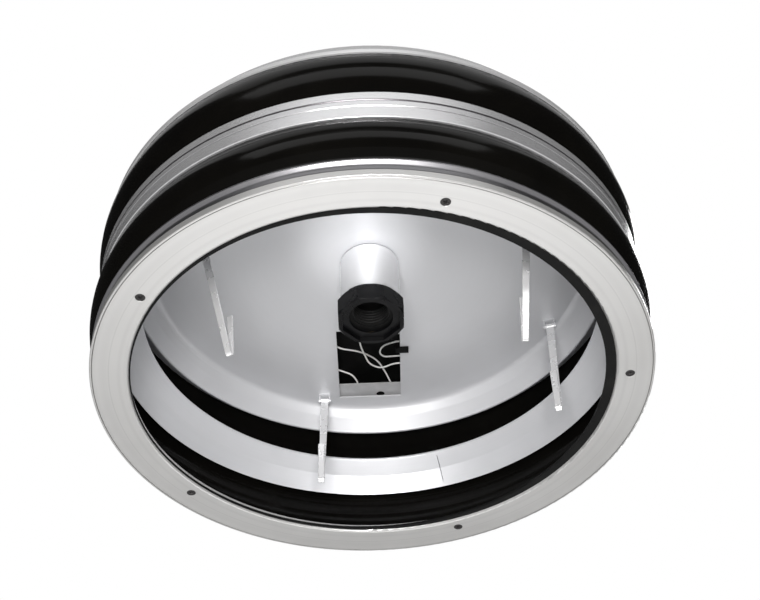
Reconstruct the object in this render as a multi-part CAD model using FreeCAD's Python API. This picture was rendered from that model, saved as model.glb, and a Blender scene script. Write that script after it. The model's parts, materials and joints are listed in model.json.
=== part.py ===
"""Drum-shaped ceiling light fitting, seen open from below with its glass taken out.

The frame is +Z up with the origin at the centre of the ceiling plane, so the drum hangs down
to z = -height. Lengths are millimetres and angles are degrees. Azimuth 0 is +X.
"""
import FreeCAD
import Part
import math
import os

Vector = FreeCAD.Vector

# ---- driving dimensions: the drum and its rings ----
height = 152.0                # ceiling plane to the face of the ring
outer_radius = 200.0          # outside of the face ring and of the top ring's skirt
sheet = 1.2                   # wall of the spun and pressed sheet pieces
ring_fit = 0.05               # radial clearance between rings that slide over each other
face_width = 27.3             # outside of the face ring to its clear opening

face_sheet = 1.5
face_lip_rise = 6.2           # how far the rolled inner lip stands up from the face
face_skirt = 16.2             # height of the face ring's outer wall
bead_width = 2.1              # rounded outer bead of the face
bead_height = 5.6
bead_round = 1.2
bead_groove = 0.3             # half width and depth of the line inside the bead
cove_depth = 2.2
screw_inset = 17.5            # outside of the drum to the circle of the face screws
screw_count = 5
screw_start_angle = -2.4
face_screw_radius = 2.0
face_screw_length = 10.0
face_head_radius = 3.6
face_head_depth = 1.3
screw_play = 0.2              # radial room of a screw in its hole
nut_width = 7.0
nut_thickness = 3.0

seal_width = 3.8              # how far the black edge seal stands into the opening
seal_offset = (-3.2, 1.5)     # the seal's opening is off the drum's axis: it was pressed in unevenly
seal_drop = 1.6               # face to the underside of the seal
seal_height = 2.0

band_edge = 0.6               # flat left between the trim ring and the swelling of a band
band_bulge = 4.8              # how far each black band swells between its edges
flange_width = 24.0           # outside of the drum to the inner edge of its lower flange
trim_top_drop = 68.8          # ceiling plane to the top of the outside trim ring
trim_height = 25.9
trim_stand_out = 0.6          # how far the trim ring stands outside the drum's rings
groove_drops = (8.6, 14.8)    # grooves of the trim ring, below its top edge
groove_width = 1.2
groove_depth = 0.6

reflector_lip_inset = 29.4    # outside of the drum to the lip of the inside reflector ring
reflector_lip_drop = 81.4     # ceiling plane to that lip
reflector_foot_inset = 9.2
reflector_foot_drop = 102.3
reflector_upstand = 12.0
seam_angle = 73.0
seam_gap = 0.5

top_inset = 11.8              # outside of the drum to where the top ring meets the ceiling
top_flange_inset = 24.0
top_skirt_drop = 24.2         # ceiling plane to the lower edge of the top ring's skirt
top_skirt_height = 3.7

plate_drop = 22.5             # ceiling plane to the underside of the back plate
plate_flat_inset = 28.0       # outside of the drum to the edge of the plate's flat
rim_foot_inset = 15.9
rim_foot_drop = 42.7
rim_return_drop = 30.0

# ---- driving dimensions: service opening, wiring box and strap ----
slot_x = (-29.0, 23.0)
slot_y = (76.0, 158.5)
box_wall = 1.5
box_x = (-42.0, 46.0)
box_y = (64.0, 168.0)
box_top_drop = 0.8
box_ear_y = 120.0
box_ear_radius = 5.0
box_ear_height = 2.0
box_screw_radius = 1.5
box_notch_x = (-14.0, 14.0)   # where the lamp's wires come in
box_notch_y = (79.0, 98.0)    # where the earth wire comes in
box_notch_height = 9.5
strap_near_y = 147.6
strap_depth_y = 18.0
strap_recess = 5.0            # strap underside above the plate's underside
strap_overhang = 4.0          # how far the strap's legs stand outside the opening
strap_foot = 7.0
strap_hole_radius = 3.6
strap_hole = (5.8, 161.5)
strap_earth_x = (-13.0, 17.0)
strap_earth_y = 160.5
earth_hole_depth = 0.8        # the strap's earth screws don't come out below it
wire_radius = 0.70
wire_bend_reach = 8.0         # longest run of wire taken up by half a bend
wire_level = -15.0            # height of the wires that cross the opening
clip_y = (96.5, 102.0)
clip_reach = 7.0              # how far the clip's lower jaw lies on the plate
clip_wall = 3.5

terminal_x = (27.0, 43.5)
terminal_y = (84.0, 130.0)
terminal_height = 13.0
pole_y = (89.0, 98.0, 107.0, 116.0, 125.0)
pole_radius = 1.3
pole_well_radius = 2.0
terminal_groove_depth = 4.0

# ---- driving dimensions: ceiling bar ----
bar_width = 25.0
bar_sheet = 2.0
bar_half_length = 112.0
bar_step = 60.0               # half length of the bar's sunken middle
bar_ramp = 12.0
bar_slot_spacing = 170.0
bar_slot_radius = 2.6
bar_slot_length = 20.0
bar_earth = (-38.0, 0.0)
earth_screw_radius = 1.6
earth_head_radius = 2.8

# ---- driving dimensions: lampholder ----
cup_radius = 23.0
cup_length = 56.0
cup_wall = 1.0
nipple_radius = 5.0
nipple_bore = 4.0
nut_height = 4.0
nut_flats = 14.0
washer_radius = 9.5
washer_sheet = 1.0
collar_flats = 49.0           # across the flats of the octagonal collar
collar_length = 15.0
collar_overlap = 9.0          # length of the collar's bore that sits round the cup
collar_recess_flats = 43.0
collar_recess_depth = 3.5
collar_throat_radius = 16.5
collar_bevel = 3.0
running_fit = 0.08            # radial clearance of parts that turn or slide on each other
socket_radius = 13.45         # wall of the screw socket
socket_depth = 24.0
insert_radius = 17.5
insert_length = 26.0
sleeve_wall = 0.8
sleeve_length = 15.0
contact_radius = 2.6
contact_button = 4.2
contact_travel = 1.5

# ---- driving dimensions: hook straps ----
strap_length = 128.0          # hinge pin to the bottom of the hook
hook_width = 6.6
hook_thickness = 1.2
hook_sole = 5.0               # width of the hook's bottom
hook_reach = 15.0             # how far the tip of the bent-up leg stands off the strap
hook_rise = 33.0
hinge_drop = 4.6              # pin axis below the plate
pin_radius = 1.0
pin_head = 0.6
knuckle_wall = 1.2
lug_wall = 1.0
lug_reach = 4.2               # half length of the lug's base
side_gap = 0.35               # free play of the strap between the lug's ears
# inset of the pin from the drum's outside, azimuth of the lug, direction the strap leans to,
# and lean from the vertical
hooks = {
    "front_left": (48.0, 212.0, 61.0, 27.0),
    "front_right": (48.0, 320.0, 94.0, 41.0),
    "rear_right": (37.2, 27.0, -104.0, 18.0),
    "rear_left": (37.6, 105.0, -91.0, 20.0),
}

# ---- sizes that follow from the driving ones ----
plate_under = -plate_drop
plate_top = plate_under + sheet
face_z = -height
opening_radius = outer_radius - face_width
screw_circle_radius = outer_radius - screw_inset
drum_radius = outer_radius - sheet - ring_fit     # outside of the drum shell at its edges
drum_inner = drum_radius - sheet
plate_hole_radius = nipple_radius + screw_play
face_screw_hole = face_screw_radius + screw_play
strap_under = plate_under + strap_recess
strap_top = strap_under + sheet
washer_earth = 0.5            # washer under each earth screw
lug_seat = strap_top + washer_earth + ring_fit + wire_radius
terminal_z = (plate_top, plate_top + terminal_height)
cup_low = plate_under - cup_length
collar_low = cup_low - (collar_length - collar_overlap)
insert_top = cup_low + insert_length


def shape_profile(corners):
    """Closed wire in the XZ plane from (r, z, fillet) corners, with an arc at each fillet."""
    edges = []
    starts = []
    ends = []
    count = len(corners)
    for i, (r, z, fillet) in enumerate(corners):
        here = Vector(r, 0, z)
        before = Vector(corners[i - 1][0], 0, corners[i - 1][1])
        after = Vector(corners[(i + 1) % count][0], 0, corners[(i + 1) % count][1])
        into = (before - here).normalize()
        out = (after - here).normalize()
        angle = into.getAngle(out)
        if fillet <= 0 or angle > math.pi - 0.01:
            starts.append(here)
            ends.append(here)
            continue
        room = 0.49 * min((before - here).Length, (after - here).Length)
        cut = min(fillet / math.tan(angle / 2), room)
        radius = cut * math.tan(angle / 2)
        first = here + into * cut
        last = here + out * cut
        middle = here + (into + out).normalize() * (radius / math.sin(angle / 2) - radius)
        starts.append(first)
        ends.append(last)
        edges.append((i, Part.Arc(first, middle, last).toShape()))
    arcs = dict(edges)
    wire = []
    for i in range(count):
        if i in arcs:
            wire.append(arcs[i])
        if (starts[(i + 1) % count] - ends[i]).Length > 1e-6:
            wire.append(Part.makeLine(ends[i], starts[(i + 1) % count]))
    return Part.Wire(wire)


def spin(corners):
    """Solid of revolution about the drum's axis from (r, z, fillet) corners."""
    face = Part.Face(shape_profile(corners))
    return face.revolve(Vector(0, 0, 0), Vector(0, 0, 1), 360)


def spun_sheet(path, thickness):
    """Spun sheet ring: the path is one face of the sheet, and the wall lies to its left."""
    count = len(path)
    normals = []
    for (r0, z0, _), (r1, z1, _) in zip(path, path[1:]):
        length = math.hypot(r1 - r0, z1 - z0)
        normals.append((-(z1 - z0) / length, (r1 - r0) / length))
    other = []
    for i, (r, z, fillet) in enumerate(path):
        first = normals[max(i - 1, 0)]
        last = normals[min(i, count - 2)]
        share = thickness / (1 + first[0] * last[0] + first[1] * last[1])
        turn = first[0] * last[1] - first[1] * last[0]
        inner = fillet - thickness if turn > 0 else fillet + thickness
        bend = max(inner, 0.1) if fillet > 0 else 0
        other.append((r + (first[0] + last[0]) * share, z + (first[1] + last[1]) * share, bend))
    return spin(list(path) + other[::-1])


def drum(radius, z_low, z_high, x=0.0, y=0.0):
    return Part.makeCylinder(radius, z_high - z_low, Vector(x, y, z_low))


def block(x, y, z):
    return Part.makeBox(x[1] - x[0], y[1] - y[0], z[1] - z[0], Vector(x[0], y[0], z[0]))


def prism(sides, flats, z_low, z_high, turn=0.0, x=0.0, y=0.0):
    """Upright regular prism, given across its flats."""
    corner = flats / 2 / math.cos(math.pi / sides)
    points = []
    for i in range(sides + 1):
        angle = math.radians(turn + 360 * (i + 0.5) / sides)
        points.append(Vector(x + corner * math.cos(angle), y + corner * math.sin(angle), z_low))
    return Part.Face(Part.makePolygon(points)).extrude(Vector(0, 0, z_high - z_low))


def tube(points, radius):
    """Round wire along straight runs that tangent arcs join, each as wide as its runs allow."""
    points = [Vector(*p) for p in points]
    edges = []
    at = points[0]
    for before, here, after in zip(points, points[1:], points[2:]):
        into = (before - here).normalize()
        out = (after - here).normalize()
        half = into.getAngle(out) / 2
        cut = min(0.45 * min((before - here).Length, (after - here).Length), wire_bend_reach)
        bend = cut * math.tan(half)
        first = here + into * cut
        last = here + out * cut
        middle = here + (into + out).normalize() * (bend / math.sin(half) - bend)
        edges.append(Part.makeLine(at, first))
        edges.append(Part.Arc(first, middle, last).toShape())
        at = last
    edges.append(Part.makeLine(at, points[-1]))
    path = Part.Wire(edges)
    start = Part.Wire(Part.makeCircle(radius, points[0], points[1] - points[0]))
    return path.makePipeShell([start], True, True)


def ring_places(radius, count, start):
    angles = [math.radians(start + 360 * i / count) for i in range(count)]
    return [(radius * math.cos(a), radius * math.sin(a)) for a in angles]


def face_screw_places():
    return ring_places(screw_circle_radius, screw_count, screw_start_angle)


def top_ring():
    """Bright spun ring between the ceiling and the drum, with a flat flange on the ceiling."""
    skirt_top = -(top_skirt_drop - top_skirt_height)
    return spun_sheet([
        (outer_radius, -top_skirt_drop, 0),
        (outer_radius, skirt_top, 1.5),
        (outer_radius - top_inset, 0, 2.5),
        (outer_radius - top_flange_inset, 0, 0),
    ], sheet)


def back_pan():
    """Pressed pan: flat plate, rounded rim down to its foot, and a return up against the drum."""
    skirt = drum_inner - ring_fit
    foot = outer_radius - rim_foot_inset
    pan = spun_sheet([
        (skirt, -top_skirt_drop - 1, 0),
        (skirt, -rim_return_drop, 1.5),
        (foot, -rim_foot_drop, 1.5),
        (foot - 6.5, -rim_foot_drop + 12.5, 9),
        (outer_radius - plate_flat_inset, plate_under, 7),
        (60, plate_under, 0),
        (plate_hole_radius, plate_under, 0),
    ], -sheet)
    return pan.cut(block(slot_x, slot_y, (plate_under - 1, plate_top + 1)))


def drum_shell():
    """Rolled steel shell with two swelling bands, flanged inwards at the face for its screws."""
    flange_low = face_z + face_sheet
    step_z = face_z + face_skirt
    neck = drum_inner - cove_depth
    waist_top = band_edge - trim_top_drop
    waist_low = -trim_top_drop - trim_height - band_edge
    path = [(drum_inner, -top_skirt_drop, 0)]
    for high, low in ((-top_skirt_drop - 1, waist_top), (waist_low, step_z + 3)):
        third = (high - low) / 3
        path += [(drum_inner, high, 1), (drum_inner + band_bulge, high - third, 40),
                 (drum_inner + band_bulge, low + third, 40), (drum_inner, low, 1)]
    path += [(drum_inner, step_z + 1.5, 1), (neck, step_z, 1), (neck, flange_low + sheet, 1),
             (outer_radius - flange_width, flange_low + sheet, 0)]
    shell = spun_sheet(path, sheet)
    for x, y in face_screw_places():
        shell = shell.cut(drum(face_screw_hole, flange_low - 1, flange_low + sheet + 1, x, y))
    return shell


def face_ring():
    """Spun aluminium face: rolled inner lip, flat face, rounded bead and a coved outer wall."""
    skirt_top = face_z + face_skirt
    cove = outer_radius - cove_depth
    bead = outer_radius - bead_width
    body = spin([
        (opening_radius, face_z + face_lip_rise, 0.6),
        (opening_radius, face_z, 1.8),
        (bead, face_z, 0),
        (bead + bead_groove, face_z + bead_groove, 0),
        (bead + 2 * bead_groove, face_z, 0),
        (outer_radius, face_z, bead_round),
        (outer_radius, face_z + bead_height, 0.3),
        (cove, face_z + bead_height + cove_depth, 3),
        (cove, skirt_top - 4, 3),
        (outer_radius, skirt_top - 1.2, 0.3),
        (outer_radius, skirt_top, 0.3),
        (drum_radius + ring_fit, skirt_top, 0),
        (drum_radius + ring_fit, skirt_top - 1.2, 0),
        (drum_radius - cove_depth + ring_fit, skirt_top - 4.5, 0),
        (drum_radius - cove_depth + ring_fit, face_z + face_sheet, 0),
        (opening_radius + face_sheet, face_z + face_sheet, 0.6),
        (opening_radius + face_sheet, face_z + face_lip_rise, 0.6),
    ])
    for x, y in face_screw_places():
        body = body.cut(drum(face_screw_hole, face_z - 1, face_z + face_sheet + 1, x, y))
        sink = Part.makeCone(face_head_radius, face_screw_hole, face_head_depth, Vector(x, y, face_z))
        body = body.cut(sink)
    return body


def edge_seal():
    """Black rubber seal inside the rolled lip, with its opening off the drum's axis."""
    low = face_z + seal_drop
    ring = drum(opening_radius - ring_fit, low, low + seal_height)
    return ring.cut(drum(opening_radius - seal_width, low - 1, low + seal_height + 1, *seal_offset))


def face_screws():
    """Five countersunk cross-head screws that hold the face ring to the drum's flange."""
    screws = []
    for x, y in face_screw_places():
        head = Part.makeCone(face_head_radius - 0.2, face_screw_radius, face_head_depth,
                             Vector(x, y, face_z + 0.1))
        shank = drum(face_screw_radius, face_z + face_head_depth, face_z + face_screw_length, x, y)
        screw = head.fuse(shank)
        for dx, dy in ((1.7, 0.35), (0.35, 1.7)):
            screw = screw.cut(block((x - dx, x + dx), (y - dy, y + dy), (face_z - 1, face_z + 0.8)))
        screws.append(screw)
    return Part.makeCompound(screws)


def face_nuts():
    """Five square captive nuts on top of the drum's flange."""
    low = face_z + face_sheet + sheet
    nuts = []
    for i, (x, y) in enumerate(face_screw_places()):
        turn = screw_start_angle + 360 * i / screw_count
        nut = prism(4, nut_width, low, low + nut_thickness, turn, x, y)
        nuts.append(nut.cut(drum(face_screw_radius, low - 1, low + 4, x, y)))
    return Part.makeCompound(nuts)


def mid_trim_ring():
    """Bright rolled ring round the outside of the drum, with two grooves."""
    inside = drum_radius + ring_fit
    outside = outer_radius + trim_stand_out
    top = -trim_top_drop
    low = top - trim_height
    corners = [(inside, low, 0), (outside - 0.4, low, 0.3), (outside, low + 0.6, 0.3)]
    for drop in reversed(groove_drops):
        z = top - drop
        corners += [(outside, z - groove_width / 2, 0.2), (outside - groove_depth, z, 0.1),
                    (outside, z + groove_width / 2, 0.2)]
    corners += [(outside, top - 0.6, 0.3), (outside - 0.4, top, 0.3), (inside, top, 0)]
    return spin(corners)


def mid_reflector_ring():
    """Sheet ring inside the drum: an upstand on the wall, a web and a sloping reflector."""
    web_z = -reflector_lip_drop + 2.0
    lip = outer_radius - reflector_lip_inset
    foot = outer_radius - reflector_foot_inset
    break_radius = (lip + foot) / 2
    break_z = -(reflector_lip_drop + reflector_foot_drop) / 2 + 1.2
    wall = drum_inner - ring_fit - sheet
    ring = spun_sheet([
        (foot, -reflector_foot_drop, 0),
        (break_radius, break_z, 2),
        (lip, -reflector_lip_drop, 0.8),
        (lip, web_z, 0.8),
        (wall, web_z, 1.4),
        (wall, web_z + reflector_upstand, 0),
    ], -sheet)
    seam = block((break_radius - 20, break_radius + 8), (-seam_gap / 2, seam_gap / 2),
                 (-reflector_foot_drop - 2, -reflector_lip_drop - 2))
    seam.rotate(Vector(0, 0, 0), Vector(0, 0, 1), seam_angle)
    return ring.cut(seam)


def ceiling_bar():
    """Steel bar bent like a flat hat: its ends are screwed to the ceiling, the pan hangs on it."""
    low = plate_top
    outline = [(-bar_half_length, 0), (-bar_half_length, -bar_sheet), (-bar_step, -bar_sheet),
               (-bar_step + bar_ramp, low), (bar_step - bar_ramp, low), (bar_step, -bar_sheet),
               (bar_half_length, -bar_sheet), (bar_half_length, 0), (bar_step - 1, 0),
               (bar_step - bar_ramp - 1, low + bar_sheet), (-bar_step + bar_ramp + 1, low + bar_sheet),
               (-bar_step + 1, 0)]
    points = [Vector(x, -bar_width / 2, z) for x, z in outline]
    bar = Part.Face(Part.makePolygon(points + points[:1])).extrude(Vector(0, bar_width, 0))
    bar = bar.cut(drum(plate_hole_radius, low - 1, low + bar_sheet + 1))
    reach = bar_slot_length / 2 - bar_slot_radius
    for side in (-1, 1):
        x = side * bar_slot_spacing / 2
        slot = block((x - reach, x + reach), (-bar_slot_radius, bar_slot_radius), (-bar_sheet - 1, 1))
        for end in (x - reach, x + reach):
            slot = slot.fuse(drum(bar_slot_radius, -bar_sheet - 1, 1, end))
        bar = bar.cut(slot)
    return bar.cut(drum(earth_screw_radius, low - 1, low + bar_sheet + 1, *bar_earth))


def wiring_box():
    """Black moulded tray over the service opening, closed at the ceiling side."""
    top = -box_top_drop
    outside = block(box_x, box_y, (plate_top, top))
    inside = block((box_x[0] + box_wall, box_x[1] - box_wall),
                   (box_y[0] + box_wall, box_y[1] - box_wall), (plate_top - 1, top - box_wall))
    ears = []
    ear_z = (plate_top, plate_top + box_ear_height)
    ear_y = (box_ear_y - box_ear_radius, box_ear_y + box_ear_radius)
    for x in (box_x[0] - box_ear_radius, box_x[1] + box_ear_radius):
        ear = drum(box_ear_radius, *ear_z, x, box_ear_y)
        ears.append(ear.fuse(block((x - box_ear_radius, x + box_ear_radius), ear_y, ear_z)))
    body = outside.fuse(ears).cut(inside)
    for x in (box_x[0] - box_ear_radius, box_x[1] + box_ear_radius):
        body = body.cut(drum(box_screw_radius, plate_top - 1, plate_top + 3, x, box_ear_y))
    notch_z = (top - box_wall - box_notch_height, top - box_wall)
    body = body.cut(block(box_notch_x, (box_y[0] - 1, box_y[0] + box_wall + 1), notch_z))
    return body.cut(block((box_x[0] - 1, box_x[0] + box_wall + 1), box_notch_y, notch_z))


def box_screws():
    """Two pan-head screws that hold the wiring box down on the pan."""
    screws = []
    for x in (box_x[0] - box_ear_radius, box_x[1] + box_ear_radius):
        low = plate_top + box_ear_height
        screws.append(drum(2.8, low, low + 1.8, x, box_ear_y).fuse(
            drum(box_screw_radius, plate_top, low + 0.5, x, box_ear_y)))
    return Part.makeCompound(screws)


def cable_strap():
    """Grey steel strap across the far end of the opening, on two bent legs."""
    y = (strap_near_y, strap_near_y + strap_depth_y)
    left = slot_x[0] - strap_overhang
    right = slot_x[1] + strap_overhang
    top = block((left, right), y, (strap_under, strap_top))
    legs = [block((x, x + sheet), y, (plate_top, strap_under + 0.5)) for x in (left, right - sheet)]
    feet = [block(x, y, (plate_top, plate_top + sheet))
            for x in ((left - strap_foot, left + 0.5), (right - 0.5, right + strap_foot))]
    strap = top.fuse(legs + feet)
    holes = [drum(strap_hole_radius, strap_under - 1, strap_top + 1, *strap_hole)]
    for x in strap_earth_x:
        holes.append(drum(earth_screw_radius, strap_top - earth_hole_depth, strap_top + 1, x, strap_earth_y))
    return strap.cut(holes)


def earth_screws():
    """Three small screws for the earth wires: two on the strap and one on the ceiling bar."""
    tops = [(x, strap_earth_y, strap_top) for x in strap_earth_x]
    tops.append((bar_earth[0], bar_earth[1], plate_top + bar_sheet))
    screws = []
    for x, y, z in tops:
        washer = drum(earth_head_radius + 0.6, z, z + washer_earth, x, y)
        head = drum(earth_head_radius, z + washer_earth - 0.1, z + 2.2, x, y)
        shank = drum(earth_screw_radius - ring_fit, z - earth_hole_depth + ring_fit, z + washer_earth, x, y)
        screws.append(washer.fuse([head, shank]))
    return Part.makeCompound(screws)


def terminal_block():
    """Five-pole terminal block beside the opening, with a wire hole and a screw well a pole."""
    body = block(terminal_x, terminal_y, terminal_z)
    for y, other in zip(pole_y, pole_y[1:]):
        middle = (y + other) / 2
        body = body.cut(block((terminal_x[0] - 1, terminal_x[1] + 1), (middle - 0.8, middle + 0.8),
                              (terminal_z[1] - terminal_groove_depth, terminal_z[1] + 1)))
    for y in pole_y:
        entry = Part.makeCylinder(pole_radius, terminal_x[1] - terminal_x[0] + 2,
                                  Vector(terminal_x[0] - 1, y, wire_level), Vector(1, 0, 0))
        well = drum(pole_well_radius, wire_level, terminal_z[1] + 1, sum(terminal_x) / 2, y)
        body = body.cut([entry, well])
    return body


def terminal_screws():
    screws = []
    for y in pole_y:
        x = sum(terminal_x) / 2
        screw = drum(pole_well_radius - running_fit, wire_level + 1.2, terminal_z[1] - 0.8, x, y)
        slot = block((x - 2, x + 2), (y - 0.3, y + 0.3), (terminal_z[1] - 1.6, terminal_z[1]))
        screws.append(screw.cut(slot))
    return Part.makeCompound(screws)


def cable_clip():
    """Black clip pushed on the plate's edge at the right of the opening."""
    x = slot_x[1]
    jaw_low = block((x - clip_wall, x + clip_reach), clip_y, (plate_under - 2.4, plate_under))
    jaw_high = block((x - clip_wall, x + 3.2), clip_y, (plate_top, plate_top + 1.6))
    back = block((x - clip_wall, x - 0.3), clip_y, (plate_under - 0.5, plate_top + 0.5))
    return jaw_low.fuse([jaw_high, back])


def neutral_wire():
    return tube([(-1.7, 0, insert_top + 1.0), (-1.7, 0, -5.5), (-4.0, 40, -5.5), (-10, 72, -6.5),
                 (-10.5, 98, wire_level - 1.7), (-3.0, 122, wire_level - 2.8), (7, 128.5, wire_level - 2.5),
                 (18, pole_y[4], wire_level), (32, pole_y[4], wire_level)], wire_radius)


def live_wire():
    return tube([(1.7, 0, insert_top + 1.0), (1.7, 0, -5.5), (6.0, 40, -5.5), (7.5, 66, -6.5),
                 (10, 78, -10.5), (19.5, pole_y[0], wire_level), (34, pole_y[0], wire_level)], wire_radius)


def loop_wire():
    """Short link between two poles that hangs as a loop in the opening."""
    return tube([(32, pole_y[1], wire_level), (20, pole_y[1], wire_level), (9, 101, wire_level - 1.5),
                 (5.5, 108, wire_level - 2.5), (9, 115, wire_level - 1.5), (20, pole_y[3], wire_level),
                 (32, pole_y[3], wire_level)], wire_radius)


def earth_wire():
    """Earth wire from the ceiling bar, across the opening to the strap's right screw."""
    return tube([(bar_earth[0], 3.5, plate_top + bar_sheet + 1.4), (bar_earth[0] - 8, 24, -12),
                 (-58, 48, -9), (-56, 74, -7.5), (-44, 86, -7.5), (-30, 104, wire_level),
                 (-10, 109.5, wire_level + 0.5), (4, 122, wire_level + 2), (11.5, 140, wire_level + 1.5),
                 (strap_earth_x[1], strap_earth_y - 3.3, lug_seat)], wire_radius)


def pan_earth_wire():
    """Second earth wire, from the pan beside the opening to the strap's left screw."""
    return tube([(-38, 112, plate_top + wire_radius), (-36, 123, plate_top + 3.5), (-28, 132, wire_level),
                 (-18, 138.5, wire_level + 1), (-13.5, 148, wire_level + 1),
                 (strap_earth_x[0], strap_earth_y - 3.3, lug_seat)], wire_radius)


def holder_cup():
    """Polished cup of the lampholder, closed at the plate and open at the bottom."""
    cup = spun_sheet([
        (cup_radius - cup_wall, cup_low, 0),
        (cup_radius - cup_wall, plate_under - cup_wall, 2.5),
        (plate_hole_radius, plate_under - cup_wall, 0),
    ], -cup_wall)
    return cup


def holder_nipple():
    """Hollow threaded nipple that ties the bar, the pan, the cup and the insert together."""
    low = insert_top + 1
    high = plate_top + bar_sheet + nut_height + 2.5
    return drum(nipple_radius, low, high).cut(drum(nipple_bore, low - 1, high + 1))


def holder_nuts():
    """Two thin nuts on the nipple: above the bar and inside the cup."""
    nuts = []
    for low in (plate_top + bar_sheet + washer_sheet, plate_under - cup_wall - washer_sheet - nut_height):
        nuts.append(prism(6, nut_flats, low, low + nut_height).cut(drum(nipple_radius, low - 1, low + 6)))
    return Part.makeCompound(nuts)


def holder_washers():
    washers = []
    for low in (plate_top + bar_sheet, plate_under - cup_wall - washer_sheet):
        washer = drum(washer_radius, low, low + washer_sheet)
        washers.append(washer.cut(drum(plate_hole_radius, low - 1, low + 2)))
    return Part.makeCompound(washers)


def socket_insert():
    """Black moulded insert in the cup, with the screw socket and a hub for the nipple."""
    low = cup_low + 1.5
    body = drum(insert_radius, low, insert_top)
    rim = drum(cup_radius - cup_wall - ring_fit, low, low + 4)
    hub = drum(8.5, insert_top - 1, insert_top + 7)
    body = body.fuse([rim, hub])
    socket_top = low + socket_depth - 3
    body = body.cut(drum(socket_radius + sleeve_wall, low - 1, socket_top))
    body = body.cut(drum(nipple_radius, insert_top + 1, insert_top + 8))
    return body.cut(drum(contact_radius + running_fit, low, insert_top + 2))


def thread_sleeve():
    """Screw sleeve of the socket, pressed into the insert."""
    low = cup_low + 3.0
    high = low + sleeve_length
    return drum(socket_radius + sleeve_wall, low, high).cut(drum(socket_radius, low - 1, high + 1))


def centre_contact():
    """Sprung centre contact: a domed button on a stem that slides in the insert."""
    seat = cup_low + socket_depth - 1.5
    crown = seat - contact_travel - 0.2
    button = Part.makeSphere(contact_button, Vector(0, 0, crown))
    button = button.common(drum(contact_button, crown - 2.4, crown))
    stem = drum(contact_radius, seat - contact_travel - 0.4, seat + 2.2)
    return button.fuse(stem)


def collar():
    """Black octagonal collar that screws on the end of the cup."""
    high = collar_low + collar_length
    body = prism(8, collar_flats, collar_low, high)
    tight = collar_flats / 2 + 0.2
    wide = tight + collar_bevel
    edge = Part.makeCone(tight, wide, collar_bevel, Vector(0, 0, collar_low))
    edge = edge.fuse(drum(wide, collar_low + collar_bevel, high - collar_bevel))
    edge = edge.fuse(Part.makeCone(wide, tight, collar_bevel, Vector(0, 0, high - collar_bevel)))
    body = body.common(edge)
    body = body.cut(prism(8, collar_recess_flats, collar_low - 1, collar_low + collar_recess_depth))
    body = body.cut(drum(collar_throat_radius, collar_low, high))
    return body.cut(drum(cup_radius + running_fit, cup_low - running_fit, high + 1))


def set_hook(shape, name, tilt):
    """Put a piece drawn with its pin along Y at the origin, leaning to +X, at its lug."""
    inset, azimuth, heading, lean = hooks[name]
    circle = outer_radius - inset
    if tilt:
        shape.rotate(Vector(0, 0, 0), Vector(0, 1, 0), -lean)
    shape.rotate(Vector(0, 0, 0), Vector(0, 0, 1), heading)
    shape.translate(Vector(circle * math.cos(math.radians(azimuth)),
                           circle * math.sin(math.radians(azimuth)), plate_under - hinge_drop))
    return shape


def hook_strap(name):
    """Flat strap that swings on its pin, bent up at its lower end into a leg for the glass."""
    half = hook_width / 2
    across = Vector(0, 1, 0)
    path = [(0, -1.0), (0, -strap_length + hook_thickness / 2),
            (hook_sole - hook_thickness, -strap_length + hook_thickness / 2),
            (hook_reach, -strap_length + hook_rise)]
    centre = [Vector(x, 0, z) for x, z in path]
    bend = 1.8
    edges = []
    at = centre[0]
    for before, here, after in zip(centre, centre[1:], centre[2:]):
        into = (before - here).normalize()
        out = (after - here).normalize()
        corner = into.getAngle(out) / 2
        cut = min(bend / math.tan(corner), 0.49 * (after - here).Length, 0.49 * (before - here).Length)
        radius = cut * math.tan(corner)
        first = here + into * cut
        last = here + out * cut
        middle = here + (into + out).normalize() * (radius / math.sin(corner) - radius)
        edges.append(Part.makeLine(at, first))
        edges.append(Part.Arc(first, middle, last).toShape())
        at = last
    edges.append(Part.makeLine(at, centre[-1]))
    side = hook_thickness / 2
    section = Part.makePolygon([Vector(-side, -half, -1), Vector(side, -half, -1), Vector(side, half, -1),
                                Vector(-side, half, -1), Vector(-side, -half, -1)])
    flat = Part.Wire(edges).makePipeShell([section], True, True)
    knuckle = Part.makeCylinder(pin_radius + knuckle_wall, hook_width, Vector(0, -half, 0), across)
    bore = Part.makeCylinder(pin_radius + running_fit, hook_width + 2, Vector(0, -half - 1, 0), across)
    return set_hook(flat.fuse(knuckle).cut(bore), name, True)


def hook_lug(name):
    """Bent lug under the plate: a base and two ears that carry the strap's pin."""
    gap = hook_width / 2 + side_gap
    ear_radius = pin_radius + knuckle_wall
    base = block((-lug_reach, lug_reach), (-gap - lug_wall, gap + lug_wall),
                 (hinge_drop - lug_wall, hinge_drop))
    ears = []
    for y in (-gap - lug_wall, gap):
        ear = block((-ear_radius, ear_radius), (y, y + lug_wall), (0, hinge_drop - lug_wall / 2))
        ears.append(ear.fuse(Part.makeCylinder(ear_radius, lug_wall, Vector(0, y, 0), Vector(0, 1, 0))))
    lug = base.fuse(ears).removeSplitter()
    bore = Part.makeCylinder(pin_radius, 2 * gap + 6, Vector(0, -gap - 3, 0), Vector(0, 1, 0))
    return set_hook(lug.cut(bore), name, False)


def hook_pins():
    """Four hinge pins with a peened head at each end."""
    pins = []
    reach = hook_width / 2 + side_gap + lug_wall
    for name in hooks:
        shank = Part.makeCylinder(pin_radius, 2 * reach, Vector(0, -reach, 0), Vector(0, 1, 0))
        heads = [Part.makeCylinder(pin_radius + pin_head, pin_head, Vector(0, y, 0), Vector(0, 1, 0))
                 for y in (-reach - pin_head, reach)]
        pins.append(set_hook(shank.fuse(heads), name, False))
    return Part.makeCompound(pins)


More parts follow.
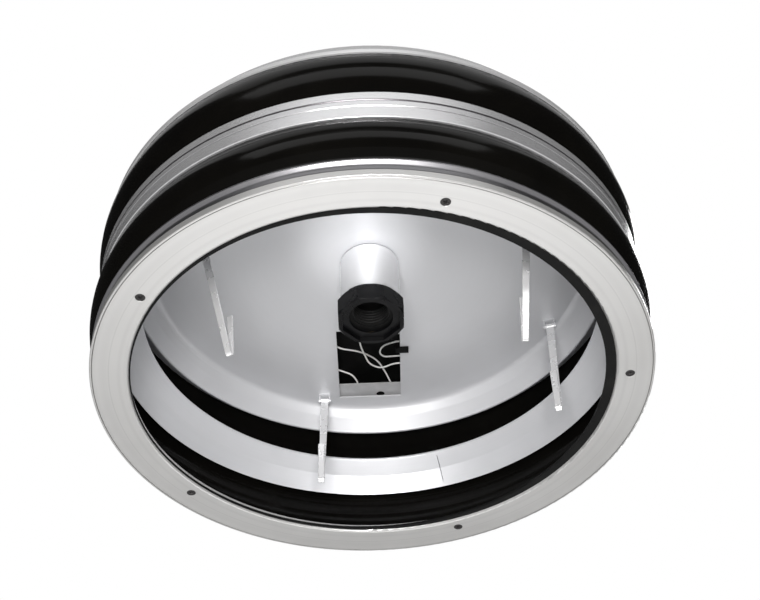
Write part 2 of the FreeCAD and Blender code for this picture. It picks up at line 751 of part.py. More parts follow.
def build():
    pieces = {
        "top_ring": top_ring(),
        "back_pan": back_pan(),
        "drum_shell": drum_shell(),
        "mid_trim_ring": mid_trim_ring(),
        "mid_reflector_ring": mid_reflector_ring(),
        "face_ring": face_ring(),
        "edge_seal": edge_seal(),
        "face_screws": face_screws(),
        "face_nuts": face_nuts(),
        "ceiling_bar": ceiling_bar(),
        "wiring_box": wiring_box(),
        "box_screws": box_screws(),
        "cable_strap": cable_strap(),
        "earth_screws": earth_screws(),
        "terminal_block": terminal_block(),
        "terminal_screws": terminal_screws(),
        "cable_clip": cable_clip(),
        "neutral_wire": neutral_wire(),
        "live_wire": live_wire(),
        "loop_wire": loop_wire(),
        "earth_wire": earth_wire(),
        "pan_earth_wire": pan_earth_wire(),
        "holder_cup": holder_cup(),
        "holder_nipple": holder_nipple(),
        "holder_nuts": holder_nuts(),
        "holder_washers": holder_washers(),
        "socket_insert": socket_insert(),
        "thread_sleeve": thread_sleeve(),
        "centre_contact": centre_contact(),
        "collar": collar(),
        "hook_pins": hook_pins(),
    }
    for name in hooks:
        pieces["hook_strap_" + name] = hook_strap(name)
        pieces["hook_lug_" + name] = hook_lug(name)
    return pieces


os.makedirs("parts", exist_ok=True)
for node, solid in build().items():
    solid.exportStep("parts/%s.step" % node)
    print("%-28s solids %d valid %s volume %.0f" % (node, len(solid.Solids), solid.isValid(), solid.Volume))
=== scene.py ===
"""Looks of a drum-shaped ceiling light fitting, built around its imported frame, in metres."""
import json
import math

import bmesh
import bpy
from mathutils import Matrix, Vector


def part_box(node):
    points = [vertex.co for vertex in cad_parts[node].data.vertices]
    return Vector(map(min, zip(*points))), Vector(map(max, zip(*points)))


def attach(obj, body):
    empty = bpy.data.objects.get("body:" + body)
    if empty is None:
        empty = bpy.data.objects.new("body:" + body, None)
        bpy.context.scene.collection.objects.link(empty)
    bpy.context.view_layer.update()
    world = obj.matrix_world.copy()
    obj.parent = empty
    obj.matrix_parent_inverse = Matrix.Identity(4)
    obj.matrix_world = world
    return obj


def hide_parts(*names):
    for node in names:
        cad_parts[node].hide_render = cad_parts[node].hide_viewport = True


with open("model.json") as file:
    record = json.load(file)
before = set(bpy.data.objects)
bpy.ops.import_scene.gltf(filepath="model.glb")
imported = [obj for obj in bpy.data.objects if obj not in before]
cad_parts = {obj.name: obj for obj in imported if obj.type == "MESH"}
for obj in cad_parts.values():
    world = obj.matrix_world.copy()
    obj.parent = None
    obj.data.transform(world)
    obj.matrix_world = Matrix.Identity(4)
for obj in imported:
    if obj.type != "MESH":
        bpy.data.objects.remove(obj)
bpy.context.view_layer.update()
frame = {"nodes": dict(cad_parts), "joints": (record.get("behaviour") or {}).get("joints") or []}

# ---------------------------------------------------------------- room
# The fitting hangs from a ceiling, so it is looked at from below. The room is a pale floor well
# under it, a soft surround that is brighter below than above, and large lamps under the drum.
VIEW_DISTANCE = 1.0666
VIEW_RISE = math.radians(44.515)
VIEW_TURN = math.radians(0.545)
VIEW_ROLL = math.radians(2.423)
VIEW_TARGET = Vector((0.00723, 0.0, -0.06277))
FLOOR_DROP = 1.9

camera = bpy.data.objects.new("camera", bpy.data.cameras.new("camera"))
bpy.context.collection.objects.link(camera)
camera.data.lens = 66.756
camera.data.sensor_width = 36.0
look = Vector((math.sin(VIEW_TURN) * math.cos(VIEW_RISE),
               math.cos(VIEW_TURN) * math.cos(VIEW_RISE), math.sin(VIEW_RISE)))
turn = look.to_track_quat("-Z", "Y").to_matrix().to_4x4()
camera.matrix_world = (Matrix.Translation(VIEW_TARGET - look * VIEW_DISTANCE) @ turn
                       @ Matrix.Rotation(-VIEW_ROLL, 4, "Z"))
bpy.context.scene.camera = camera
bpy.context.scene.view_settings.view_transform = "Standard"


def room_lamp(name, place, aim, width, height, power, colour):
    lamp = bpy.data.lights.new(name, "AREA")
    lamp.shape = "RECTANGLE"
    lamp.size = width
    lamp.size_y = height
    lamp.energy = power
    lamp.color = colour
    holder = bpy.data.objects.new(name, lamp)
    bpy.context.collection.objects.link(holder)
    holder.location = place
    holder.rotation_euler = (Vector(aim) - Vector(place)).to_track_quat("-Z", "Y").to_euler()


room_lamp("viewer_lamp", (-0.05, -1.15, -0.85), (0, 0, -0.05), 0.4, 0.4, 19, (1.0, 0.99, 0.98))
room_lamp("high_front_lamp", (0.0, -1.25, 0.97), (0, -0.2, -0.08), 2.2, 0.6, 4, (1.0, 1.0, 1.0))
room_lamp("low_lamp", (0.0, 0.6, -1.45), (0, -0.15, -0.1), 1.4, 0.5, 4, (1.0, 1.0, 1.0))
room_lamp("rear_lamp", (0.5, 1.7, 1.1), (0, 0, -0.3), 1.8, 1.0, 40, (1.0, 1.0, 1.0))
room_lamp("overhead_lamp", (0.0, 0.1, 1.2), (0, 0, 0), 1.6, 1.6, 3, (1.0, 1.0, 1.0))
snoot = bpy.data.lights.new("snoot_lamp", "SPOT")
snoot.energy = 33
snoot.spot_size = math.radians(7)
snoot.spot_blend = 1.0
snoot.shadow_soft_size = 0.02
snoot_holder = bpy.data.objects.new("snoot_lamp", snoot)
bpy.context.collection.objects.link(snoot_holder)
snoot_holder.location = (-0.02, -0.45, -0.8)
snoot_aim = Vector((-0.006, -0.03, -0.03)) - snoot_holder.location
snoot_holder.rotation_euler = snoot_aim.to_track_quat("-Z", "Y").to_euler()

world = bpy.data.worlds.new("surround")
bpy.context.scene.world = world
world.use_nodes = True
air = world.node_tree
sky = air.nodes["Background"]
sky.inputs["Strength"].default_value = 0.5
heading = air.nodes.new("ShaderNodeTexCoord")
parts = air.nodes.new("ShaderNodeSeparateXYZ")
fade = air.nodes.new("ShaderNodeMapRange")
fade.inputs["From Min"].default_value = -0.05
fade.inputs["From Max"].default_value = 0.25
tint = air.nodes.new("ShaderNodeMix")
tint.data_type = "RGBA"
tint.inputs[6].default_value = (1.0, 1.0, 1.0, 1)
tint.inputs[7].default_value = (0.04, 0.04, 0.04, 1)
seen = air.nodes.new("ShaderNodeBackground")
seen.inputs["Color"].default_value = (1, 1, 1, 1)
ray = air.nodes.new("ShaderNodeLightPath")
choice = air.nodes.new("ShaderNodeMixShader")
air.links.new(heading.outputs["Generated"], parts.inputs[0])
air.links.new(parts.outputs["Z"], fade.inputs["Value"])
air.links.new(fade.outputs["Result"], tint.inputs[0])
air.links.new(tint.outputs[2], sky.inputs["Color"])
air.links.new(ray.outputs["Is Camera Ray"], choice.inputs[0])
air.links.new(sky.outputs[0], choice.inputs[1])
air.links.new(seen.outputs[0], choice.inputs[2])
air.links.new(choice.outputs[0], air.nodes["World Output"].inputs["Surface"])

bpy.ops.mesh.primitive_plane_add(size=9, location=(0, 0, -FLOOR_DROP))
floor = bpy.context.object
floor.name = "floor"
floor_paint = bpy.data.materials.new("pale_floor")
floor_paint.use_nodes = True
floor_paint.node_tree.nodes["Principled BSDF"].inputs["Base Color"].default_value = (0.9, 0.895, 0.89, 1)
floor_paint.node_tree.nodes["Principled BSDF"].inputs["Roughness"].default_value = 0.8
floor_paint.node_tree.nodes["Principled BSDF"].inputs["Emission Color"].default_value = (1, 1, 1, 1)
floor_paint.node_tree.nodes["Principled BSDF"].inputs["Emission Strength"].default_value = 0.2
floor.data.materials.append(floor_paint)


# ---------------------------------------------------------------- face ring
# Spun from 1.5 mm aluminium: a satin face with a rounded bead, and a coved outer wall that is
# painted a darker grey, as painted shade in the concave cove, and made fully metallic. The turning marks of
# the spinning tool run round it.
class Wire:
    """A shader socket that can be written into plain arithmetic."""

    def __init__(self, paint, socket):
        self.paint = paint
        self.socket = socket

    def math(self, kind, *values):
        return self.paint.node("ShaderNodeMath", {"operation": kind}, values)

    def __add__(self, other):
        return self.math("ADD", self, other)

    def __sub__(self, other):
        return self.math("SUBTRACT", self, other)

    def __mul__(self, other):
        return self.math("MULTIPLY", self, other)

    def __rsub__(self, other):
        return self.math("SUBTRACT", other, self)

    __radd__ = __add__
    __rmul__ = __mul__


class Paint:
    """One finish: a node tree round the Principled shader."""

    def __init__(self, name, colour, rough, metal=0.0, **fixed):
        self.material = bpy.data.materials.new(name)
        self.material.use_nodes = True
        self.tree = self.material.node_tree
        self.shader = self.tree.nodes["Principled BSDF"]
        self.set("Base Color", (*colour, 1))
        self.set("Roughness", rough)
        self.set("Metallic", metal)
        for socket, value in fixed.items():
            self.set(socket.replace("_", " ").title().replace("Ior", "IOR"), value)

    def set(self, socket, value):
        if isinstance(value, Wire):
            self.tree.links.new(value.socket, self.shader.inputs[socket])
        else:
            self.shader.inputs[socket].default_value = value

    def node(self, kind, settings, inputs, out=0):
        made = self.tree.nodes.new(kind)
        for key, value in settings.items():
            setattr(made, key, value)
        pairs = inputs.items() if isinstance(inputs, dict) else enumerate(inputs)
        for key, value in pairs:
            if isinstance(value, Wire):
                self.tree.links.new(value.socket, made.inputs[key])
            else:
                made.inputs[key].default_value = value
        return Wire(self, made.outputs[out])

    def place(self):
        return self.node("ShaderNodeTexCoord", {}, {}, "Object")

    def split(self):
        made = self.node("ShaderNodeSeparateXYZ", {}, [self.place()]).socket.node
        return [Wire(self, made.outputs[i]) for i in range(3)]

    def join(self, x, y, z):
        return self.node("ShaderNodeCombineXYZ", {}, [x, y, z])

    def noise(self, vector, scale, detail=3.0, rough=0.55, distort=0.0):
        return self.node("ShaderNodeTexNoise", {}, {"Vector": vector, "Scale": scale, "Detail": detail,
                                                    "Roughness": rough, "Distortion": distort})

    def radius(self):
        x, y, _ = self.split()
        return self.node("ShaderNodeMath", {"operation": "SQRT"}, [x * x + y * y])

    def spread(self, value, low, high, to_low=0.0, to_high=1.0):
        return self.node("ShaderNodeMapRange", {"clamp": True}, [value, low, high, to_low, to_high])

    def band(self, value, low, high, soft):
        """1 between low and high, fading to 0 over the soft width on either side."""
        return self.spread(value, low - soft, low) * self.spread(value, high, high + soft, 1.0, 0.0)

    def colours(self, factor, first, second):
        first = first if isinstance(first, Wire) else (*first, 1)
        second = second if isinstance(second, Wire) else (*second, 1)
        return self.node("ShaderNodeMix", {"data_type": "RGBA"}, {0: factor, 6: first, 7: second}, 2)

    def bump(self, height, strength, distance):
        self.set("Normal", self.node("ShaderNodeBump", {}, {"Strength": strength, "Distance": distance,
                                                            "Height": height}))


def spun_metal(name, light, dark, rough, lines, depth, smears=0.05, metal=1.0):
    """Metal turned on a lathe: fine rings round the axis, soft cloudy wear and finger smears."""
    paint = Paint(name, light, rough, metal)
    x, y, z = paint.split()
    radius = paint.radius()
    rings = paint.noise(paint.join(radius * lines, z * lines, 0.0), 1.0, 1.0, 0.5)
    cloud = paint.noise(paint.place(), 9.0, 3.0, 0.6, 0.4)
    smear = paint.noise(paint.place(), 38.0, 2.0, 0.5, 1.2)
    tone = paint.colours(cloud * 0.75 + rings * 0.25, dark, light)
    paint.set("Base Color", tone)
    paint.set("Roughness", paint.spread(cloud + smear * 0.6, 0.5, 1.1, rough - smears, rough + smears))
    paint.bump(rings, 0.3, depth)
    return paint, tone, radius, z


def finish(nodes, material):
    for node in nodes:
        mesh = frame["nodes"][node].data
        mesh.materials.clear()
        mesh.materials.append(material)


face_paint, face_tone, face_radius, face_z = spun_metal(
    "satin_face", (0.70, 0.70, 0.695), (0.62, 0.612, 0.60), 0.38, 500.0, 0.00002, metal=0.7)
turned_bands = face_paint.noise(face_paint.join(face_radius * 160.0, 0.0, 0.0), 1.0, 1.0, 0.5)
face_tone = face_paint.colours(face_paint.spread(turned_bands, 0.45, 0.7, 0.0, 0.5), face_tone,
                               (0.57, 0.565, 0.56))
# Painted shade: a thin dark ring at the bead's edge and a fainter one at a shallow fold of the face.
BEAD_EDGE_SHADE = (0.19795, 0.19850)
FOLD_SHADE_LINE = (0.1864, 0.1868)
COVE_SPAN = (-0.1460, -0.1362)
line_shade_masks = (face_paint.band(face_radius, *BEAD_EDGE_SHADE, 0.0002) * 0.6
              + face_paint.band(face_radius, *FOLD_SHADE_LINE, 0.0004) * 0.1)
on_face = face_paint.spread(face_z, -0.1500, -0.1495, 1.0, 0.0)
# Painted shade: the coved outer wall is coloured a darker grey than the face, standing in for the shade in
# the cove.
cove = face_paint.band(face_z, *COVE_SPAN, 0.0005) * face_paint.spread(face_radius, 0.190, 0.1905)
# The two painted shade rings are darkened into the face's colour here.
face_tone = face_paint.colours(line_shade_masks * on_face, face_tone, (0.05, 0.048, 0.045))
face_paint.set("Base Color", face_paint.colours(cove, face_tone, (0.36, 0.355, 0.37)))
face_paint.set("Metallic", face_paint.spread(cove, 0.0, 1.0, 0.7, 1.0))
finish(["face_ring"], face_paint.material)


# ---------------------------------------------------------------- edge seal
# Soft black rubber ring pressed in behind the rolled lip. It is set a little to one side so that it shows
# as a dark crescent on the near and right side of the opening, a dark piece standing in for the shade along
# that edge.
# Painted shade in part: this black ring's crescent stands in for the shade along the near edge of the
# opening.
rubber_and_shade = Paint("black_rubber", (0.004, 0.004, 0.004), 0.65, 0.0, specular_ior_level=0.2)
bloom = rubber_and_shade.noise(rubber_and_shade.place(), 60.0, 4.0, 0.6)
rubber_and_shade.set("Base Color", rubber_and_shade.colours(rubber_and_shade.spread(bloom, 0.5, 0.8), (0.003, 0.003, 0.003),
                                        (0.010, 0.010, 0.009)))
rubber_and_shade.bump(rubber_and_shade.noise(rubber_and_shade.place(), 1500.0, 2.0, 0.5), 0.2, 0.00002)
finish(["edge_seal"], rubber_and_shade.material)


# ---------------------------------------------------------------- face screws
# Five blackened cross-head countersunk screws, driven from below through the face into the drum.
# Each head is all but flush with the satin face and has a pressed cross with sloping ends.
SCREW_CIRCLE = 0.1825
SCREW_START = math.radians(-2.4)
HEAD_RADIUS = 0.0034
CROSS_REACH = 0.0019
CROSS_WIDTH = 0.0005
CROSS_DEPTH = 0.0013


def plated_steel(name, colour, rough, fleck=160.0, metal=1.0, wear=0.2, depth=0.00002):
    """Zinc-plated or bright steel: spangled, a little dull, with fine drawn scratches."""
    paint = Paint(name, colour, rough, metal)
    spangle = paint.noise(paint.place(), fleck, 3.0, 0.6)
    x, y, z = paint.split()
    scratch = paint.noise(paint.join(x * 60.0, y * 900.0, z * 60.0), 1.0, 2.0, 0.5)
    darker = tuple(c * (1 - wear) for c in colour)
    paint.set("Base Color", paint.colours(spangle, darker, colour))
    paint.set("Roughness", paint.spread(spangle, 0.3, 0.7, rough - 0.05, rough + 0.08))
    paint.bump(scratch + spangle * 0.4, 0.2, depth)
    return paint.material


def new_piece(name, mesh, body, nodes, material):
    piece = bpy.data.objects.new(name, mesh)
    bpy.context.collection.objects.link(piece)
    piece.data.materials.clear()
    piece.data.materials.append(material)
    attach(piece, body)
    if nodes:
        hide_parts(*nodes)
    return piece


def screw_head(radius, dome):
    """Head seen from below: a polar grid whose height falls into a cross."""
    form = bmesh.new()
    rings = 26
    around = 64
    rows = []
    for i in range(1, rings + 1):
        r = radius * i / rings
        row = []
        for k in range(around):
            a = 2 * math.pi * k / around
            x, y = r * math.cos(a), r * math.sin(a)
            along, across = max(abs(x), abs(y)), min(abs(x), abs(y))
            inside = max(0.0, min(1.0, (CROSS_WIDTH - across) / 0.00018 + 0.5))
            slope = max(0.0, min(1.0, (CROSS_REACH - along) / 0.0006))
            row.append(form.verts.new((x, y, -dome * (1 - (i / rings) ** 2) + CROSS_DEPTH * inside * slope)))
        rows.append(row)
    rim = [form.verts.new((v.co.x * 0.6, v.co.y * 0.6, 0.0016)) for v in rows[-1]]
    rows.append(rim)
    centre = form.verts.new((0, 0, CROSS_DEPTH - dome))
    back = form.verts.new((0, 0, 0.0016))
    for k in range(around):
        n = (k + 1) % around
        form.faces.new((centre, rows[0][n], rows[0][k]))
        form.faces.new((back, rim[k], rim[n]))
        for low, high in zip(rows, rows[1:]):
            form.faces.new((low[k], low[n], high[n], high[k]))
    bmesh.ops.recalc_face_normals(form, faces=form.faces)
    mesh = bpy.data.meshes.new("screw_head")
    form.to_mesh(mesh)
    form.free()
    for face in mesh.polygons:
        face.use_smooth = True
    return mesh


def node_tree(name, numbers, build):
    """Geometry Nodes tree with named number inputs, ending in Realize Instances and Set Material."""
    tree = bpy.data.node_groups.new(name, "GeometryNodeTree")
    tree.interface.new_socket("Geometry", in_out="OUTPUT", socket_type="NodeSocketGeometry")
    for label, value in numbers.items():
        kind = "NodeSocketInt" if isinstance(value, int) else "NodeSocketFloat"
        tree.interface.new_socket(label, in_out="INPUT", socket_type=kind)
    given = tree.nodes.new("NodeGroupInput")
    shape, material = build(tree, given)
    solid = tree.nodes.new("GeometryNodeRealizeInstances")
    colour = tree.nodes.new("GeometryNodeSetMaterial")
    colour.inputs["Material"].default_value = material
    result = tree.nodes.new("NodeGroupOutput")
    tree.links.new(shape, solid.inputs[0])
    tree.links.new(solid.outputs[0], colour.inputs["Geometry"])
    tree.links.new(colour.outputs[0], result.inputs[0])
    return tree


def grow(name, tree, numbers):
    """Mesh that a node tree makes with the given numbers."""
    seed = bpy.data.objects.new(name + "_seed", bpy.data.meshes.new(name + "_seed"))
    bpy.context.collection.objects.link(seed)
    modifier = seed.modifiers.new(name, "NODES")
    modifier.node_group = tree
    for item in tree.interface.items_tree:
        if item.item_type == "SOCKET" and item.in_out == "INPUT" and item.name in numbers:
            modifier[item.identifier] = numbers[item.name]
    depsgraph = bpy.context.evaluated_depsgraph_get()
    mesh = bpy.data.meshes.new_from_object(seed.evaluated_get(depsgraph))
    mesh.name = name
    seed.modifiers.clear()
    bpy.data.objects.remove(seed)
    return mesh


screw_steel = plated_steel("screw_steel", (0.03, 0.028, 0.028), 0.38, metal=0.3)
pattern = bpy.data.objects.new("screw_pattern", screw_head(HEAD_RADIUS, 0.0001))
SCREW_COUNT = 5
screw_numbers = {"Count": SCREW_COUNT, "Circle": SCREW_CIRCLE, "Start": SCREW_START,
                 "Level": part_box("face_screws")[0][2]}


def screw_ring(tree, given):
    circle = tree.nodes.new("GeometryNodeMeshCircle")
    spin = tree.nodes.new("GeometryNodeTransform")
    angle = tree.nodes.new("ShaderNodeCombineXYZ")
    lift = tree.nodes.new("ShaderNodeCombineXYZ")
    head = tree.nodes.new("GeometryNodeObjectInfo")
    place = tree.nodes.new("GeometryNodeInstanceOnPoints")
    index = tree.nodes.new("GeometryNodeInputIndex")
    step = tree.nodes.new("ShaderNodeMath")
    step.operation = "MULTIPLY"
    step.inputs[1].default_value = 0.9
    turned = tree.nodes.new("ShaderNodeCombineXYZ")
    head.inputs["Object"].default_value = pattern
    tree.links.new(given.outputs["Count"], circle.inputs["Vertices"])
    tree.links.new(given.outputs["Circle"], circle.inputs["Radius"])
    tree.links.new(given.outputs["Start"], angle.inputs["Z"])
    tree.links.new(given.outputs["Level"], lift.inputs["Z"])
    tree.links.new(circle.outputs[0], spin.inputs["Geometry"])
    tree.links.new(lift.outputs[0], spin.inputs["Translation"])
    tree.links.new(angle.outputs[0], spin.inputs["Rotation"])
    tree.links.new(spin.outputs[0], place.inputs["Points"])
    tree.links.new(head.outputs["Geometry"], place.inputs["Instance"])
    tree.links.new(index.outputs[0], step.inputs[0])
    tree.links.new(step.outputs[0], turned.inputs["Z"])
    tree.links.new(turned.outputs[0], place.inputs["Rotation"])
    return place.outputs[0], screw_steel


screw_tree = node_tree("screw_ring", screw_numbers, screw_ring)
new_piece("face_screw_heads", grow("face_screw_heads", screw_tree, screw_numbers), "housing",
          ["face_screws"], screw_steel)

# ---------------------------------------------------------------- drum shell
# Rolled steel with two swelling bands, stove enamelled gloss black inside and out. The enamel has
# a faint orange-peel skin and a little haze in its gloss; a faint brown tint in its colour is a painted
# reflection of the room.
enamel = Paint("black_gloss", (0.006, 0.006, 0.007), 0.16, 0.0, specular_ior_level=0.2)
haze_and_brown_reflection = enamel.noise(enamel.place(), 14.0, 4.0, 0.6, 0.5)
# Painted reflection: the brown tint mixed into the black stands in for the room reflected in the gloss; the
# same noise also varies the roughness.
enamel.set("Base Color", enamel.colours(haze_and_brown_reflection, (0.001, 0.001, 0.0012), (0.005, 0.0045, 0.0035)))
enamel.set("Roughness", enamel.spread(haze_and_brown_reflection, 0.3, 0.7, 0.10, 0.18))
enamel.bump(enamel.noise(enamel.place(), 120.0, 2.0, 0.5), 0.12, 0.0001)
finish(["drum_shell"], enamel.material)

# ---------------------------------------------------------------- top ring and trim ring
# Spun and rolled aluminium, polished on the wheel. The trim ring sits in the waist between the two
# black bands; its two grooves are painted dark, as painted shade in them.
finish(["top_ring"], spun_metal("polished_ring", (0.90, 0.90, 0.91), (0.82, 0.82, 0.83), 0.2, 500.0,
                                0.00003, metal=0.5)[0].material)
trim_paint, trim_tone, _, trim_z = spun_metal(
    "polished_trim", (0.93, 0.93, 0.94), (0.84, 0.84, 0.86), 0.26, 500.0, 0.000008, 0.04, metal=0.75)
# Painted shade: the trim ring's two grooves are coloured near black.
groove_shade = (trim_paint.band(trim_z, -0.0781, -0.0767, 0.0004)
           + trim_paint.band(trim_z, -0.0839, -0.0833, 0.0004) * 0.7)
trim_paint.set("Base Color", trim_paint.colours(groove_shade, trim_tone, (0.06, 0.055, 0.06)))
finish(["mid_trim_ring"], trim_paint.material)

# ---------------------------------------------------------------- reflector ring
# Sheet aluminium bent to a cone and closed with one butt seam; it throws the lamp's light out.
finish(["mid_reflector_ring"],
       spun_metal("satin_reflector", (0.84, 0.85, 0.88), (0.74, 0.745, 0.77), 0.4, 500.0, 0.00002,
                  metal=0.55)[0].material)

# ---------------------------------------------------------------- back pan
# Pressed aluminium pan with an even satin finish, which carries everything else.
finish(["back_pan"],
       spun_metal("satin_pan", (0.72, 0.725, 0.745), (0.66, 0.665, 0.685), 0.46, 260.0, 0.00001,
                  metal=0.35)[0].material)

# ---------------------------------------------------------------- lampholder cup
# Drawn brass cup, chromed and polished, held to the pan by the hollow nipple through it.
finish(["holder_cup"],
       spun_metal("polished_cup", (0.96, 0.96, 0.97), (0.90, 0.90, 0.92), 0.2, 500.0, 0.00001, 0.03,
                  metal=0.6)[0].material)


# ---------------------------------------------------------------- lampholder collar
# Octagonal collar moulded in black thermoset, screwed on the cup's mouth, with a thin rim round a
# flat recess. Its skin is glossy, and a little dust lies in the grain.
def moulded(name, colour, rough, grain=900.0, depth=0.00003, **fixed):
    """Moulded plastic or ceramic: a fine skin grain and a little dust."""
    paint = Paint(name, colour, rough, 0.0, **fixed)
    skin = paint.noise(paint.place(), grain, 2.0, 0.5)
    dust = paint.noise(paint.place(), 55.0, 4.0, 0.65)
    lighter = tuple(min(1.0, c * 1.25 + 0.006) for c in colour)
    paint.set("Base Color", paint.colours(paint.spread(dust, 0.45, 0.8), colour, lighter))
    paint.set("Roughness", paint.spread(dust, 0.3, 0.8, rough - 0.04, rough + 0.08))
    paint.bump(skin, 0.3, depth)
    return paint.material


finish(["collar"], moulded("black_thermoset", (0.002, 0.002, 0.0025), 0.28, specular_ior_level=0.22))

# ---------------------------------------------------------------- socket
# Black ceramic insert with a blackened screw sleeve: the thread is rolled into the sleeve's wall.
# The sprung contact at its bottom is brass.
THREAD_TURNS = 5.0
THREAD_PITCH = 0.0027
finish(["socket_insert"], moulded("black_ceramic", (0.004, 0.004, 0.004), 0.7, specular_ior_level=0.15))
socket_metal = moulded("dark_socket", (0.008, 0.008, 0.008), 0.5, specular_ior_level=0.2)
finish(["thread_sleeve"], socket_metal)
finish(["centre_contact"], plated_steel("brass_contact", (0.5, 0.36, 0.16), 0.3))


def socket_thread(tree, given):
    helix = tree.nodes.new("GeometryNodeCurveSpiral")
    helix.inputs["Resolution"].default_value = 48
    rod = tree.nodes.new("GeometryNodeCurvePrimitiveCircle")
    rod.inputs["Resolution"].default_value = 10
    sweep = tree.nodes.new("GeometryNodeCurveToMesh")
    sweep.inputs["Fill Caps"].default_value = True
    move = tree.nodes.new("GeometryNodeTransform")
    lift = tree.nodes.new("ShaderNodeCombineXYZ")
    tree.links.new(given.outputs["Turns"], helix.inputs["Rotations"])
    tree.links.new(given.outputs["Radius"], helix.inputs["Start Radius"])
    tree.links.new(given.outputs["Radius"], helix.inputs["End Radius"])
    tree.links.new(given.outputs["Rise"], helix.inputs["Height"])
    tree.links.new(given.outputs["Ridge"], rod.inputs["Radius"])
    tree.links.new(helix.outputs[0], sweep.inputs["Curve"])
    tree.links.new(rod.outputs[0], sweep.inputs["Profile Curve"])
    tree.links.new(sweep.outputs[0], move.inputs["Geometry"])
    tree.links.new(given.outputs["Level"], lift.inputs["Z"])
    tree.links.new(lift.outputs[0], move.inputs["Translation"])
    return move.outputs[0], socket_metal


thread_numbers = {"Turns": THREAD_TURNS, "Radius": 0.01345, "Rise": THREAD_TURNS * THREAD_PITCH,
                  "Ridge": 0.0007, "Level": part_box("thread_sleeve")[0][2] + 0.0007}
thread_tree = node_tree("socket_thread", thread_numbers, socket_thread)
new_piece("socket_thread_ridge", grow("socket_thread_ridge", thread_tree, thread_numbers), "housing",
          [], socket_metal)

# ---------------------------------------------------------------- service opening
# Black moulded tray over the opening, with the terminal block, white insulated wires, a black clip
# on the pan's edge and a grey bent strap for the earth screws.
finish(["wiring_box", "cable_clip"],
       moulded("black_plastic", (0.003, 0.003, 0.003), 0.6, specular_ior_level=0.15))
finish(["terminal_block"], moulded("dark_plastic", (0.015, 0.015, 0.015), 0.5))
finish(["cable_strap"], moulded("grey_strap", (0.52, 0.52, 0.53), 0.45, 600.0, 0.00002, metallic=0.2))
finish(["neutral_wire", "live_wire", "loop_wire", "earth_wire", "pan_earth_wire"],
       moulded("white_wire", (0.86, 0.85, 0.83), 0.4, 2000.0, 0.00001))

# ---------------------------------------------------------------- hook straps
# Four straps cut from bright steel strip, wider at the pin than at the hook, with the lower end
# bent up into a leg. The strip's narrow edges are painted dark, as painted shade along them.
STRAP_WALL = 0.0006
KNUCKLE_RADIUS = 0.0022
STRAP_TOP_WIDTH = 0.0066
STRAP_LOW_WIDTH = 0.0046
STRAP_LENGTH = 0.128
HOOK_SOLE = 0.0038
HOOK_REACH = 0.015
HOOK_RISE = 0.033

strap_steel = plated_steel("strap_steel", (0.96, 0.96, 0.97), 0.24, 60.0, 0.5, 0.05, 0.000002)
# Painted shade: near-black steel on the strip's two narrow edges stands in for the shade along them.
edge_shade_steel = plated_steel("painted_edge_shade", (0.10, 0.09, 0.09), 0.4)


def bent_strip(path, widths):
    """Strip of tapering width along a path in the XZ plane, with its two long edges bevelled."""
    form = bmesh.new()
    loops = []
    for i, (point, width) in enumerate(zip(path, widths)):
        before = path[max(i - 1, 0)]
        after = path[min(i + 1, len(path) - 1)]
        along = (after - before).normalized()
        side = Vector((along.z, 0, -along.x))
        half, wall, cut = width / 2, STRAP_WALL, STRAP_WALL * 0.5
        section = [(-half + cut, -wall), (half - cut, -wall), (half, -wall + cut), (half, wall - cut),
                   (half - cut, wall), (-half + cut, wall), (-half, wall - cut), (-half, -wall + cut)]
        loops.append([form.verts.new(point + side * out + Vector((0, y, 0))) for y, out in section])
    for low, high in zip(loops, loops[1:]):
        for k in range(8):
            n = (k + 1) % 8
            face = form.faces.new((low[k], low[n], high[n], high[k]))
            face.material_index = 1 if k in (2, 6) else 0
    form.faces.new(loops[0][::-1])
    form.faces.new(loops[-1])
    return form


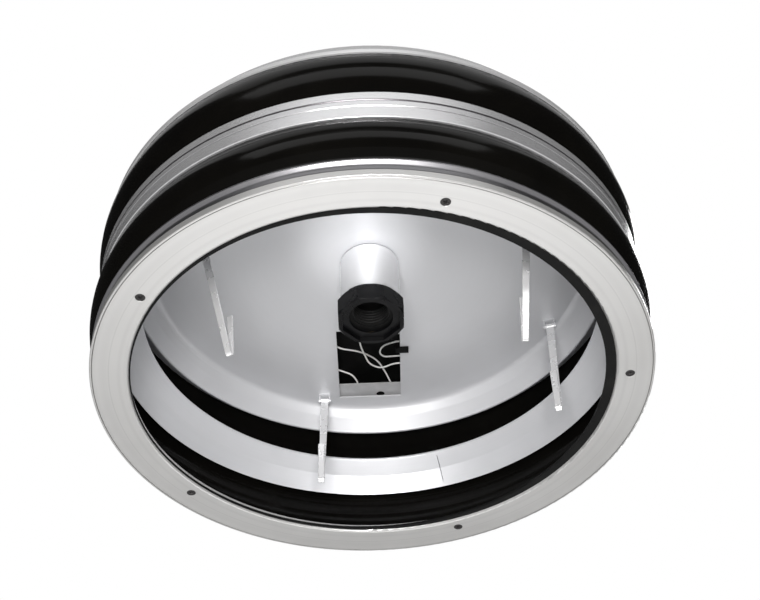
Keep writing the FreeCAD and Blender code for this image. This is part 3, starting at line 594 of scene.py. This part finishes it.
def hook_path():
    """Centre line of a hook: down the strap, round the sole and up the leg."""
    spline_points = [Vector((0, 0, -0.0010))]
    spline_points += [Vector((0, 0, -STRAP_LENGTH * i / 12)) for i in range(1, 12)]
    low = -STRAP_LENGTH + STRAP_WALL
    bend = 0.0016
    for i in range(7):
        a = math.pi + math.pi / 2 * i / 6
        spline_points.append(Vector((bend + bend * math.cos(a), 0, low + bend + bend * math.sin(a))))
    rise = math.atan2(HOOK_RISE, HOOK_REACH - HOOK_SOLE)
    for i in range(7):
        a = -math.pi / 2 + rise * i / 6
        spline_points.append(Vector((HOOK_SOLE - bend + bend * math.cos(a), 0,
                                     low + bend + bend * math.sin(a))))
    start = spline_points[-1]
    for i in range(1, 7):
        spline_points.append(start.lerp(Vector((HOOK_REACH, 0, -STRAP_LENGTH + HOOK_RISE)), i / 6))
    return spline_points


strap_path = hook_path()
strap_run = [0.0]
for first, second in zip(strap_path, strap_path[1:]):
    strap_run.append(strap_run[-1] + (second - first).length)
strap_widths = [STRAP_TOP_WIDTH + (STRAP_LOW_WIDTH - STRAP_TOP_WIDTH) * min(1.0, run / STRAP_LENGTH)
                for run in strap_run]
for joint in frame["joints"]:
    if not joint["name"].endswith("_swing"):
        continue
    corner = joint["name"][len("hook_"):-len("_swing")]
    pin = Vector(joint["pos_m"])
    hinge = Vector(joint["axis"])
    lean = math.radians(-joint["range_deg"][0])
    form = bent_strip(strap_path, strap_widths)
    bmesh.ops.create_cone(form, cap_ends=True, segments=32, radius1=KNUCKLE_RADIUS,
                          radius2=KNUCKLE_RADIUS, depth=STRAP_TOP_WIDTH,
                          matrix=Matrix.Rotation(math.pi / 2, 4, "X"))
    bmesh.ops.recalc_face_normals(form, faces=form.faces)
    place = (Matrix.Translation(pin) @ Matrix.Rotation(math.atan2(hinge.x, -hinge.y), 4, "Z")
             @ Matrix.Rotation(-lean, 4, "Y"))
    bmesh.ops.transform(form, matrix=place, verts=form.verts)
    mesh = bpy.data.meshes.new("strap_" + corner)
    form.to_mesh(mesh)
    form.free()
    piece = new_piece("strap_" + corner, mesh, "hook_" + corner, ["hook_strap_" + corner],
                      strap_steel)
    piece.data.materials.append(edge_shade_steel)
finish(["hook_lug_" + corner for corner in ("front_left", "front_right", "rear_left", "rear_right")]
       + ["hook_pins"], plated_steel("lug_steel", (0.70, 0.705, 0.725), 0.46, 160.0, 0.35, 0.05, 0.000002))

# ---------------------------------------------------------------- fixings above the pan
# Bright zinc-plated bar, nipple, nuts, washers, pins and screws, out of sight from below.
finish(["face_nuts", "ceiling_bar", "box_screws", "earth_screws", "terminal_screws", "holder_nipple",
        "holder_nuts", "holder_washers"], plated_steel("zinc_steel", (0.62, 0.63, 0.64), 0.34))
